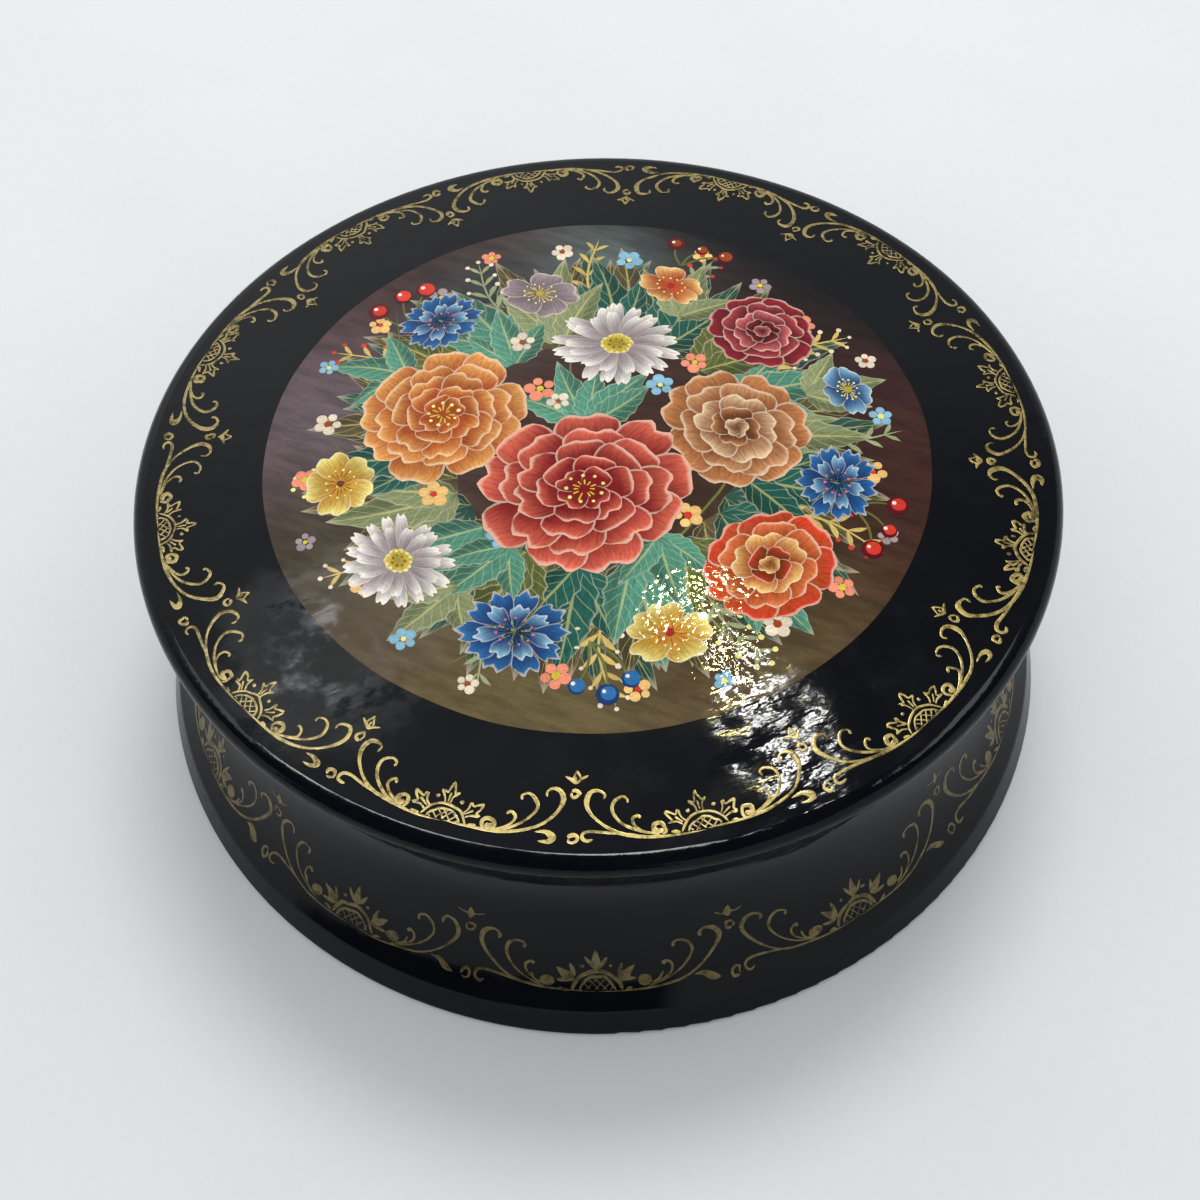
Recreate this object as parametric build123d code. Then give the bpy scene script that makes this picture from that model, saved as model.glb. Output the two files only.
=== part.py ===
from build123d import *
from math import sqrt
import os

# Round papier-mache lacquer box with a lift-off lid, in millimetres.
# The origin is the centre of the underside and +Z runs up through the lid.
# Every piece is turned on one axis, so each is a half outline revolved about Z.

# Bottom board, whose edge leans in as it rises and is eased below
bottom_diameter = 158.5
bottom_thickness = 4.0
bottom_lower_round = 0.8
spigot_height = 2.0
spigot_edge_round = 0.6

# Wall, turned from a wound tube: a low foot flush with the board's edge, then one long cove
wall_height = 43.1
foot_height = 1.2
foot_lean = 1.95
foot_round = 1.5
cove_depth = 9.2
waist_height = 23.8
waist_thickness = 5.0
rim_outer_round = 0.7
mouth_lead_in = 0.5

# Lid board, crowned on top, well rounded at its edge and a little hollow below
lid_overhang = 1.9
lid_edge_thickness = 2.9
lid_upper_round = 2.4
lid_lower_round = 0.45
crown_rise = 1.6
hollow_rise = 1.2
groove_depth = 1.2

# Collar under the lid, which drops into the mouth and lies flush with the bore
collar_thickness = 3.0
collar_drop = 6.0
collar_lead_in = 0.8
collar_inner_round = 0.5

# Fits
glue_gap = 0.1
collar_clearance = 0.4
shoulder_clearance = 0.5

# Heights of the joints between the pieces
foot_z = bottom_thickness
spigot_z = foot_z + spigot_height
cove_foot_z = foot_z + foot_height
waist_z = cove_foot_z + waist_height
rim_z = foot_z + wall_height
shoulder_z = rim_z - collar_drop - shoulder_clearance
groove_z = rim_z + groove_depth

# Radii of the bottom board and the wall, whose edge is one cone from the table to the cove
bottom_r = bottom_diameter / 2
cove_foot_r = bottom_r - foot_lean
foot_r = bottom_r - foot_lean * foot_z / cove_foot_z
waist_r = cove_foot_r - cove_depth
bore_r = waist_r - waist_thickness
spigot_r = bore_r - glue_gap
collar_r = bore_r + collar_thickness
recess_r = collar_r + collar_clearance

# The cove is one arc, upright at the waist and reaching down to the foot
cove_r = (cove_depth**2 + waist_height**2) / (2 * cove_depth)
rim_r = waist_r + cove_r - sqrt(cove_r**2 - (rim_z - waist_z) ** 2)

# The crown is one arc from the top of the lid's edge to the centre
lid_r = rim_r + lid_overhang
lid_edge_z = rim_z + lid_edge_thickness
crown_z = lid_edge_z + crown_rise
crown_arc_r = (lid_r**2 + crown_rise**2) / (2 * crown_rise)
crown_centre_z = crown_z - crown_arc_r

# The hollow under the lid is one arc from the collar's groove to the centre
groove_inner_r = bore_r - glue_gap
groove_outer_r = collar_r + glue_gap
hollow_z = rim_z + hollow_rise
hollow_arc_r = (groove_inner_r**2 + hollow_rise**2) / (2 * hollow_rise)
hollow_centre_z = hollow_z - hollow_arc_r


def at(radius, height):
    """A point of a half outline."""
    return Vector(radius, 0, height)


def on_arc(radius, centre_height, arc_radius):
    """The point at a radius on an arc that is centred on the axis."""
    return at(radius, centre_height + sqrt(arc_radius**2 - radius**2))


def turned(*outline):
    """The solid that a closed half outline sweeps in a full turn."""
    return revolve(make_face(list(outline)), Axis.Z)


def rim_edge(solid, radius, height):
    """The circular edge nearest to a radius and a height."""
    circles = solid.edges().filter_by(GeomType.CIRCLE)
    return min(circles, key=lambda edge: abs(edge.radius - radius) + abs(edge.arc_center.Z - height))


def bottom_board():
    """Disc with a leaning edge, flush with the wall's foot, and a spigot that centres the wall."""
    board = turned(
        Polyline(at(0, 0), at(bottom_r, 0), at(foot_r, foot_z), at(spigot_r, foot_z),
                 at(spigot_r, spigot_z), at(0, spigot_z), close=True),
    )
    board = fillet(rim_edge(board, bottom_r, 0), bottom_lower_round)
    return fillet(rim_edge(board, spigot_r, spigot_z), spigot_edge_round)


def body_wall():
    """Waisted wall on a low foot, with a straight bore and a recess at the mouth for the collar."""
    wall = turned(
        ThreePointArc(at(cove_foot_r, cove_foot_z), at(waist_r, waist_z), at(rim_r, rim_z)),
        Polyline(at(rim_r, rim_z), at(recess_r, rim_z), at(recess_r, shoulder_z),
                 at(bore_r, shoulder_z), at(bore_r, foot_z), at(foot_r, foot_z),
                 at(cove_foot_r, cove_foot_z)),
    )
    wall = fillet(rim_edge(wall, cove_foot_r, cove_foot_z), foot_round)
    wall = fillet(rim_edge(wall, rim_r, rim_z), rim_outer_round)
    return chamfer(rim_edge(wall, recess_r, rim_z), mouth_lead_in)


def lid_board():
    """Crowned board with a rounded edge, a groove for the collar and a hollow inside it."""
    lid = turned(
        ThreePointArc(at(0, crown_z), on_arc(lid_r / 2, crown_centre_z, crown_arc_r),
                      at(lid_r, lid_edge_z)),
        Polyline(at(lid_r, lid_edge_z), at(lid_r, rim_z), at(groove_outer_r, rim_z),
                 at(groove_outer_r, groove_z), at(groove_inner_r, groove_z),
                 at(groove_inner_r, rim_z)),
        ThreePointArc(at(groove_inner_r, rim_z),
                      on_arc(groove_inner_r / 2, hollow_centre_z, hollow_arc_r), at(0, hollow_z)),
        Line(at(0, hollow_z), at(0, crown_z)),
    )
    lid = fillet(rim_edge(lid, lid_r, lid_edge_z), lid_upper_round)
    return fillet(rim_edge(lid, lid_r, rim_z), lid_lower_round)


def lid_collar():
    """Ring glued in the lid's groove, eased where it enters the mouth."""
    end_z = rim_z - collar_drop
    collar = turned(
        Polyline(at(bore_r, end_z), at(collar_r, end_z), at(collar_r, groove_z),
                 at(bore_r, groove_z), close=True),
    )
    collar = chamfer(rim_edge(collar, collar_r, end_z), collar_lead_in)
    return fillet(rim_edge(collar, bore_r, end_z), collar_inner_round)


os.makedirs("parts", exist_ok=True)
for piece in (bottom_board, body_wall, lid_board, lid_collar):
    export_step(piece(), f"parts/{piece.__name__}.step")
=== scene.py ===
from math import cos, pi, radians, sin, sqrt

import bmesh
import bpy
import numpy as np
from mathutils import Matrix, Vector


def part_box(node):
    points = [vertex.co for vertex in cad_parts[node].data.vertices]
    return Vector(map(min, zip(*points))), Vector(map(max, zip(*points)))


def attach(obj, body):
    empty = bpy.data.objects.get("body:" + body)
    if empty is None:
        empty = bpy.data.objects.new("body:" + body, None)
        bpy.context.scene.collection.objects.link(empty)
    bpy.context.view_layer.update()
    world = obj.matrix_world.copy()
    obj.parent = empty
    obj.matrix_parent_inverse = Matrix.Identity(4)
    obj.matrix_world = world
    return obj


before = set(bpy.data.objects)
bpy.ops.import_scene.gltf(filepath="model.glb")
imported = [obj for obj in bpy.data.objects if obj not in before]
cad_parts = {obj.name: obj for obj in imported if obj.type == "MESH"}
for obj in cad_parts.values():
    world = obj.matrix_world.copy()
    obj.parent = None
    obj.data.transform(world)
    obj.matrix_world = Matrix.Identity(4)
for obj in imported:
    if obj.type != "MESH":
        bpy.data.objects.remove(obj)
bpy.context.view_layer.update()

rng = np.random.default_rng(12)

# The box's sizes in metres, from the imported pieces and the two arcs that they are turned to
mm = 0.001
foot_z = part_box("body_wall")[0].z
collar_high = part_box("lid_collar")[1]
lid_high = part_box("lid_board")[1]
lid_r, crown_z = lid_high.x, lid_high.z
foot_height = 1.2 * mm
cove_foot_r, cove_foot_z = 77.3 * mm, foot_z + foot_height
cove_depth = 9.2 * mm
waist_height = 23.8 * mm
crown_rise = 1.6 * mm
crown_arc_r = (lid_r**2 + crown_rise**2) / (2 * crown_rise)
cove_r = (cove_depth**2 + waist_height**2) / (2 * cove_depth)
waist_r = cove_foot_r - cove_depth
waist_z = cove_foot_z + waist_height

# Where the gold borders lie, the angles of their half suns in degrees from +X, and how high the gold stands
lid_line_r = 70.5 * mm
wall_line_z = 8.4 * mm
wall_line_r = 72 * mm
lid_suns = (-169, -138, -109, -79, -49, -19, 10, 40, 68, 99, 128, 159)
wall_suns = (-155, -124, -92, -58, -23, 10, 42, 75, 107, 140, 172)
gold_lift = 0.05 * mm
gold_ridge = 0.03 * mm
# How close together points of a stroke are made one
weld_reach = 0.001 * mm

# Places on the lid, from its centre: an oval where the varnish ran thick, a round patch where it took up
# grit, and one where it is rubbed
thick_middle, thick_turn, thick_reach = (24.5 * mm, -53 * mm), radians(-68), (17 * mm, 10 * mm)
grit_middle, grit_reach = (15 * mm, -35 * mm), (11 * mm, 11 * mm)
rubbed_middle, rubbed_reach = (-39 * mm, -36 * mm), (23 * mm, 23 * mm)
patch_depth = 20 * mm

# The varnish: the way of the brush, how high its relief can stand, and each pattern's cells and share of that
brush_turn = radians(25)
relief_depth = 0.2 * mm
ripple_stretch, run_stretch = (2.4, 1, 1), (2.0, 1, 1)
run_cells, run_share = 3, 3.8
wave_cell, wave_share = 12 * mm, 0.25
pit_cell, pit_share = 0.9 * mm, 0.008
grain_cell, clump_cell, smear_cell = 0.95 * mm, 4 * mm, 7 * mm
thin_relief = 0.048
varnish_shine = 0.14

# On each finish, the cells of the varnish's ripples, and how much higher they are where it ran thick
lacquer_ripple, lacquer_relief = 1.6 * mm, 0.4
gold_ripple, gold_relief = 2.6 * mm, 0.8
paint_ripple, paint_relief, paint_grit = 2.0 * mm, 0.32, 0.17

# How far the red inside reaches past the collar, outwards and upwards, and how far above the foot it starts
red_past_collar, red_past_groove, red_above_foot = 0.6 * mm, 0.4 * mm, 0.05 * mm

# The finishes' colours from dark to light, the cells of their patterns, and the table's width in metres
black_tones = (0.0018, 0.0023, 0.0040, 1), (0.0034, 0.0042, 0.0062, 1)
red_tones = (0.33, 0.018, 0.012, 1), (0.47, 0.035, 0.02, 1)
gold_tones = (0.05, 0.038, 0.011, 1), (0.28, 0.222, 0.09, 1)
# The table's tones near and far: the near one is a little darker, a painted shade
table_painted_shade_tones = (0.78, 0.795, 0.81, 1), (0.80, 0.815, 0.815, 1)
lacquer_cloud = 14 * mm
gold_grain, gold_load = 0.35 * mm, 1.6 * mm
pigment_grain, streak_patch = 0.5 * mm, 9 * mm
fibre_cell, blotch_cell = 1.2 * mm, 60 * mm
table_width = 8.0


def crown(radius):
    """Height of the lid's top at a radius: a shallow arc centred on the axis."""
    return crown_z - crown_arc_r + np.sqrt(crown_arc_r**2 - radius**2)


def cove(height):
    """Radius of the wall at a height: one arc that is upright at the waist."""
    return waist_r + cove_r - np.sqrt(cove_r**2 - (height - waist_z) ** 2)


def on_lid(angle, along, up, lift):
    """Points of the lid: along the border's circle, up from it towards the centre, lifted off the crown."""
    radius = lid_line_r - up
    turn = angle + along / lid_line_r
    return np.stack([radius * np.cos(turn), radius * np.sin(turn), crown(radius) + lift], -1)


def on_wall(angle, along, up, lift):
    """Points of the wall: along the border's base line, up from it, lifted outwards off the cove."""
    height = wall_line_z + up
    radius = cove(height) + lift
    turn = angle + along / wall_line_r
    return np.stack([radius * np.cos(turn), radius * np.sin(turn), height], -1)


def node(tree, kind, inputs=(), **settings):
    """Adds a shader node, sets its properties, and sets or links its inputs."""
    made = tree.nodes.new(kind)
    for name, value in settings.items():
        setattr(made, name, value)
    for name, value in dict(inputs).items():
        if isinstance(value, bpy.types.NodeSocket):
            tree.links.new(value, made.inputs[name])
        else:
            made.inputs[name].default_value = value
    return made


def math(tree, operation, *values):
    """The result of one sum on numbers or sockets."""
    return node(tree, "ShaderNodeMath", enumerate(values), operation=operation).outputs[0]


def ramp(tree, value, low, high, to_low=0.0, to_high=1.0):
    """A number led smoothly from one range to another, and held at its ends."""
    inputs = {"Value": value, "From Min": low, "From Max": high, "To Min": to_low, "To Max": to_high}
    return node(tree, "ShaderNodeMapRange", inputs, interpolation_type="SMOOTHSTEP").outputs[0]


def blend(tree, share, first, second):
    """Two numbers mixed by a share."""
    return node(tree, "ShaderNodeMix", {0: share, 2: first, 3: second}, data_type="FLOAT").outputs[0]


def blend_colors(tree, share, first, second, how="MIX"):
    """Two colours mixed by a share."""
    inputs = {0: share, 6: first, 7: second}
    return node(tree, "ShaderNodeMix", inputs, data_type="RGBA", blend_type=how).outputs[2]


def shaded(tree, color, shade):
    """A colour multiplied by a number."""
    grey = node(tree, "ShaderNodeCombineColor", {0: shade, 1: shade, 2: shade}).outputs[0]
    return blend_colors(tree, 1.0, color, grey, "MULTIPLY")


def fitted(tree, place, middle=(0, 0, 0), turn=0.0, reach=(1, 1, 1)):
    """A place measured from a middle point, along axes turned about Z, in shares of a reach along each."""
    inputs = {"Vector": place, "Location": middle, "Rotation": (0, 0, turn), "Scale": reach}
    return node(tree, "ShaderNodeMapping", inputs, vector_type="TEXTURE").outputs[0]


def noise(tree, place, size, detail=2.0, roughness=0.5, stretch=(1, 1, 1), turn=0.0):
    """Noise from 0 to 1 whose blotches are about a size in metres, drawn out along turned axes."""
    drawn = fitted(tree, place, turn=turn, reach=stretch)
    inputs = {"Vector": drawn, "Scale": 1 / size, "Detail": detail, "Roughness": roughness}
    return node(tree, "ShaderNodeTexNoise", inputs).outputs["Fac"]


def new_material(name):
    """An empty node material and its tree, shader and place on the object."""
    material = bpy.data.materials.new(name)
    material.use_nodes = True
    tree = material.node_tree
    tree.nodes.clear()
    shader = node(tree, "ShaderNodeBsdfPrincipled")
    node(tree, "ShaderNodeOutputMaterial", {"Surface": shader.outputs[0]})
    place = node(tree, "ShaderNodeTexCoord").outputs["Object"]
    return material, tree, shader, place


def join(tree, socket, target):
    """Links a socket to a shader's input."""
    tree.links.new(socket, target)


def near(tree, place, middle, turn, reach, full, none):
    """1 near a place on the lid and 0 away from it: an oval that fades between two shares of its reach."""
    measured = fitted(tree, place, (*middle, crown_z), turn, (*reach, patch_depth))
    length = node(tree, "ShaderNodeVectorMath", {0: measured}, operation="LENGTH").outputs["Value"]
    return ramp(tree, length, full, none, 1.0, 0.0)


def varnish(tree, place, shader, ripple, relief, grit=0.0):
    """The hand-laid varnish over lacquer, gold and painting alike: its height is a sum of noises.

    Ripples, and longer runs under them, are drawn out along the brush. They stand highest where the varnish
    ran thick, low on the lid to the right. Slow waves and pits are everywhere. Beside the thick place the
    varnish is sleeker and grit stands up in it, and fine rubbing has dulled a patch low on the left.
    """
    thick = near(tree, place, thick_middle, thick_turn, thick_reach, 0.8, 1.6)
    thick = math(tree, "MULTIPLY_ADD", thick, relief, thin_relief)
    ripples = noise(tree, place, ripple, 2.5, 0.55, ripple_stretch, brush_turn)
    runs = noise(tree, place, run_cells * ripple, 1.0, 0.5, run_stretch, brush_turn)
    height = math(tree, "MULTIPLY", math(tree, "MULTIPLY_ADD", runs, run_share, ripples), thick)
    for cell, share in ((wave_cell, wave_share), (pit_cell, pit_share)):
        height = math(tree, "MULTIPLY_ADD", noise(tree, place, cell, 1.0), share, height)
    if grit:
        grains = noise(tree, place, grain_cell, 0.6)
        clumps = ramp(tree, noise(tree, place, clump_cell), 0.4, 0.6, 0.5, 1.3)
        gritty = near(tree, place, grit_middle, 0.0, grit_reach, 0.9, 1.2)
        gritty = math(tree, "MULTIPLY", gritty, math(tree, "MULTIPLY", clumps, grit))
        height = math(tree, "MULTIPLY_ADD", grains, gritty, height)
    bump = node(tree, "ShaderNodeBump", {"Height": height, "Strength": 1.0, "Distance": relief_depth})
    join(tree, bump.outputs[0], shader.inputs["Normal"])
    smear = noise(tree, place, smear_cell, 4.0, 0.6)
    rubbed = near(tree, place, rubbed_middle, 0.0, rubbed_reach, 0.3, 1.0)
    rubbed = math(tree, "MULTIPLY", rubbed, ramp(tree, smear, 0.3, 0.6, 0.0, 0.3))
    dull = math(tree, "ADD", ramp(tree, smear, 0.35, 0.7, 0.055, 0.12), rubbed)
    sleek = near(tree, place, grit_middle, 0.0, grit_reach, 1.1, 1.7)
    dull = math(tree, "MULTIPLY", dull, math(tree, "MULTIPLY_ADD", sleek, -0.45, 1.0))
    join(tree, dull, shader.inputs["Roughness"])
    shader.inputs["Specular IOR Level"].default_value = varnish_shine


def box_lacquer():
    """Black lacquer outside and cinnabar red inside, parted by the radius and height of the mouth."""
    material, tree, shader, place = new_material("box_lacquer")
    x, y, z = node(tree, "ShaderNodeSeparateXYZ", {0: place}).outputs
    radius = math(tree, "SQRT", math(tree, "ADD", math(tree, "POWER", x, 2.0), math(tree, "POWER", y, 2.0)))
    within = math(tree, "LESS_THAN", radius, collar_high.x + red_past_collar)
    above = math(tree, "GREATER_THAN", z, foot_z + red_above_foot)
    below = math(tree, "LESS_THAN", z, collar_high.z + red_past_groove)
    inside = math(tree, "MULTIPLY", within, math(tree, "MULTIPLY", above, below))
    cloud = noise(tree, place, lacquer_cloud, 3.0)
    outer_color = blend_colors(tree, cloud, *black_tones)
    inner_color = blend_colors(tree, cloud, *red_tones)
    join(tree, blend_colors(tree, inside, outer_color, inner_color), shader.inputs["Base Color"])
    varnish(tree, place, shader, lacquer_ripple, lacquer_relief)
    return material


def powdered_gold(name, fullness):
    """Powdered gold in gum, laid thin enough in places for the black to show through."""
    material, tree, shader, place = new_material(name)
    grain = noise(tree, place, gold_grain, 2.0, 0.6)
    load = noise(tree, place, gold_load, 3.0, 0.6)
    laid = ramp(tree, math(tree, "MULTIPLY_ADD", grain, 0.45, load), 0.5, 0.85, 0.0, fullness)
    join(tree, blend_colors(tree, laid, *gold_tones), shader.inputs["Base Color"])
    shader.inputs["Metallic"].default_value = 0.75
    varnish(tree, place, shader, gold_ripple, gold_relief)
    # The powder's own roughness takes the place of the varnish's, which lies over it as a thin coat
    join(tree, ramp(tree, grain, 0.3, 0.7, 0.30, 0.46), shader.inputs["Roughness"])
    shader.inputs["Coat Weight"].default_value = 0.3
    shader.inputs["Coat Roughness"].default_value = 0.1
    return material


# Gold line work. A stroke is a list of rows (along, up, width) in millimetres
stroke_steps = 26
large_scroll = [(0, -0.15, 0.34), (4, -0.2, 0.4), (8, 0.05, 0.5), (11.5, 0.7, 0.5), (14.2, 2.1, 0.45),
                (16.2, 4.2, 0.6), (16.8, 5.9, 0.85), (16.1, 7.2, 0.7), (14.9, 7.5, 0.45),
                (14.05, 6.9, 0.42), (14.2, 6.1, 0.75)]
middle_scroll = [(6.3, 0.0, 0.3), (9.2, 0.9, 0.42), (11.6, 2.3, 0.42), (12.9, 4.2, 0.5),
                 (12.6, 5.7, 0.55), (11.4, 6.4, 0.4), (10.4, 6.0, 0.38), (10.5, 5.3, 0.7)]
small_scroll = [(6.6, 0.2, 0.3), (8.6, 0.9, 0.34), (9.9, 1.9, 0.4), (10.0, 2.9, 0.45),
                (9.3, 3.4, 0.4), (8.8, 3.0, 0.65)]
crescent = [(13.0, 0.75, 0.2), (14.6, 0.85, 0.6), (15.6, 0.2, 1.05), (15.1, -0.5, 0.7), (13.7, -0.65, 0.2)]
base_hook = [(9.5, 0.35, 0.3), (13, 0.9, 0.42), (15.6, 1.2, 0.48), (16.9, 0.9, 0.5), (17.1, 0.1, 0.5),
             (16.5, -0.35, 0.45), (15.7, -0.15, 0.4)]
petal_side = [(0, 0.4, 0.26), (1.0, 0.6, 0.3), (1.9, 1.35, 0.42)]
petal_tip = [(1.95, 1.3, 0.3), (1.8, 0.62, 0.3), (2.5, 0.4, 0.34), (3.35, 0.0, 0.5)]
petal_rib = [(0.2, 0, 0.22), (1.7, 0, 0.34)]
bud_wings = [(-1.9, 0.35, 0.25), (-0.9, -0.05, 0.45), (0, -0.5, 0.6), (0.9, -0.05, 0.45), (1.9, 0.35, 0.25)]
bud_side = [(0, 1.35, 0.4), (0.42, 0.65, 0.32), (0.8, -0.05, 0.3)]
bud_rib = [(0, -0.9, 0.3), (0, 0.3, 0.42)]
# The wall's ornament is painted with a fuller brush: filled petals, buds and balls, and scrolls that swell
full_petal = [(0.1, 0, 0.7), (1.0, 0, 1.7), (1.9, 0, 1.3), (3.2, 0, 0.3)]
full_petal_side = [(0.4, 0.2, 0.5), (1.2, 0.9, 0.75), (2.1, 1.5, 0.3)]
full_bud = [(0, -0.8, 0.5), (0, 0.2, 1.3), (0, 1.4, 0.3)]
full_bud_wing = [(0.2, 0.1, 0.4), (1.1, 0.15, 0.4), (2.1, 0.6, 0.2)]
full_crescent = [(12.9, 0.75, 0.2), (14.2, 0.7, 0.9), (15.3, 0.1, 1.3), (16.4, -0.3, 0.3)]
ball_hook = [(7.2, 0.5, 0.5), (8.2, 1.0, 0.35), (8.8, 1.9, 0.5)]
side_ray = [(3.7, 0, 0.3), (4.3, 0, 0.5), (4.9, 0, 0.25)]
sun_radius, sun_inner_radius, sun_drop = 3.4, 2.6, 0.9
lattice_offsets = (-0.7, 0.05, 0.8, 1.55)
petal_turns, dot_turns, ray_turns = (-50, 0, 50), (-25, 25), (-76, 76)
petal_gap, dot_reach, dot_radius = 0.1, 4.6, 0.28
ball_place, ball_radius = (6.5, 1.12), 1.08
gap_ring_radius, gap_ring_up, bud_up = 0.62, 7.0, 9.3
# Half the way from sun to sun that the scrolls are drawn for, and the least width of a dot
drawn_half_gap = 18.45
dot_least_width = 0.4
# How blunt the ends of a stroke are, where 2 is an ellipse
brush_ends, round_ends = 8.0, 2.0
# How a hand strays: a point and a stroke in millimetres, a petal in radians, and shares of a line's width
point_stray, stroke_stray, petal_stray = 0.07, 0.05, 0.05
unit_swell, line_swell, scroll_swell = (0.86, 1.2), (0.85, 1.2), (0.55, 1.6)


def smooth(rows, steps):
    """A Catmull-Rom curve through the rows, read at even parameters: each span is a cubic on four rows."""
    rows = np.asarray(rows, float)
    padded = np.vstack([2 * rows[0] - rows[1], rows, 2 * rows[-1] - rows[-2]])
    at = np.linspace(0, len(rows) - 1, steps)
    span = np.minimum(at.astype(int), len(rows) - 2)
    u = (at - span)[:, None]
    a, b, c, d = (padded[span + i] for i in range(4))
    return 0.5 * (2 * b + (c - a) * u + (2 * a - 5 * b + 4 * c - d) * u**2 + (3 * b - a - 3 * c + d) * u**3)


def ribbon(rows, ends=brush_ends, steps=stroke_steps):
    """A stroke as a grid of (along, up, lift), with three points across and the middle one raised.

    The half width goes to nothing at both ends as the root of 1 - |x|^ends, with x from -1 to 1,
    so ends of 2 make an ellipse of a short straight stroke.
    """
    line = smooth(rows, steps)
    way = np.gradient(line[:, :2], axis=0)
    side = np.stack([-way[:, 1], way[:, 0]], -1)
    side /= np.linalg.norm(side, axis=1, keepdims=True) + 1e-9
    x = np.linspace(-1, 1, len(line))
    ending = np.sqrt(1 - np.abs(x) ** ends)
    half = line[:, 2] / 2 * ending
    across = np.array([-1.0, 0.0, 1.0])
    flat = line[:, None, :2] + side[:, None] * (half[:, None] * across)[..., None]
    lift = (1 - across**2) * ending[:, None]
    return np.concatenate([flat, lift[..., None]], -1)


def toward(bearing):
    """The way in a flat drawing at a bearing from up: its sine along and its cosine up."""
    return np.stack([np.sin(bearing), np.cos(bearing)], -1)


def turned_rows(rows, turn, origin):
    """Rows given as (outwards, across, width), turned about a point and moved there."""
    rows = np.asarray(rows, float)
    across = np.array([cos(turn), -sin(turn)])
    flat = np.asarray(origin) + (rows[:, :1] * toward(turn) + rows[:, 1:2] * across)
    return np.hstack([flat, rows[:, 2:]])


def mirrored(rows):
    """Rows with their second number reversed."""
    rows = np.asarray(rows, float)
    return rows * (1, -1, 1)


def arc_rows(centre, radius, start, end, width, end_width=None, end_radius=None, count=9):
    """Rows along an arc or, with another end radius, a spiral. Angles in degrees from along to up."""
    turn = np.radians(np.linspace(start, end, count))
    far = np.linspace(radius, radius if end_radius is None else end_radius, count)
    wide = np.linspace(width, width if end_width is None else end_width, count)
    return np.stack([centre[0] + far * np.cos(turn), centre[1] + far * np.sin(turn), wide], -1)


def dot_rows(centre, radius):
    """Rows of a round dot: a stroke as wide as it is long."""
    return [(centre[0] - radius, centre[1], 2 * radius), (centre[0] + radius, centre[1], 2 * radius)]


def sun_strokes(full):
    """The half sun with its lattice, three pointed petals with dots between them, and a ray on each side."""
    centre = (0, -sun_drop)
    outer, inner, lattice = (0.75, 0.5, 0.16) if full else (0.36, 0.32, 0.2)
    strokes = [arc_rows(centre, sun_radius, 14, 166, outer),
               arc_rows(centre, sun_inner_radius, 18, 162, inner)]
    for offset in lattice_offsets:
        reach = sqrt(sun_inner_radius**2 - offset**2)
        start = max(-reach, sqrt(2) * sun_drop - offset)
        for side in (-1, 1):
            ends = [(side * (x - offset) / sqrt(2), (x + offset) / sqrt(2) - sun_drop, lattice)
                    for x in (start, reach)]
            strokes.append(np.array(ends))
    petal = (petal_side, mirrored(petal_side), petal_tip, mirrored(petal_tip), petal_rib)
    if full:
        petal = (full_petal, full_petal_side, mirrored(full_petal_side))
    for turn in np.radians(petal_turns):
        turn += rng.normal(0, petal_stray)
        foot = (sun_radius + petal_gap) * toward(turn) + centre
        strokes += [turned_rows(rows, turn, foot) for rows in petal]
    strokes += [dot_rows(dot_reach * toward(turn) + centre, dot_radius) for turn in np.radians(dot_turns)]
    return strokes + [turned_rows(side_ray, turn, centre) for turn in np.radians(ray_turns)]


def side_strokes(side, reach, full):
    """The scrolls and the ball on one side of a sun, stretched along to reach the gap."""
    scrolls = [np.array(rows) for rows in (large_scroll, middle_scroll, small_scroll)]
    lower = crescent if side > 0 else base_hook
    if full:
        for rows in scrolls:
            rows[:, 2] *= np.linspace(*scroll_swell, len(rows))
        lower = full_crescent if side > 0 else base_hook
        ball = [np.array(dot_rows(ball_place, ball_radius * 0.9)), np.array(ball_hook)]
    else:
        ball = [arc_rows(ball_place, ball_radius, 250, -170, 0.42, 0.95, ball_radius * 0.32, 12)]
    strokes = [rows * (side * reach, 1, 1) for rows in (*scrolls, np.array(lower))]
    return strokes + [rows * (side, 1, 1) for rows in ball]


def gap_strokes(middle, full):
    """What fills the gap between two units: a ring on the base line, a ring above it and a winged bud."""
    strokes = []
    for up in (0.0, gap_ring_up):
        turn = rng.uniform(0, 360)
        strokes.append(arc_rows((middle, up), gap_ring_radius, turn, turn + 350, 0.34, 0.62))
    flipped = np.array([-1, 1, 1])
    bud = (bud_wings, bud_side, bud_side * flipped, bud_rib)
    if full:
        bud = (full_bud, full_bud_wing, full_bud_wing * flipped)
    return strokes + [np.array(rows) + (middle, bud_up, 0) for rows in bud]


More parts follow.
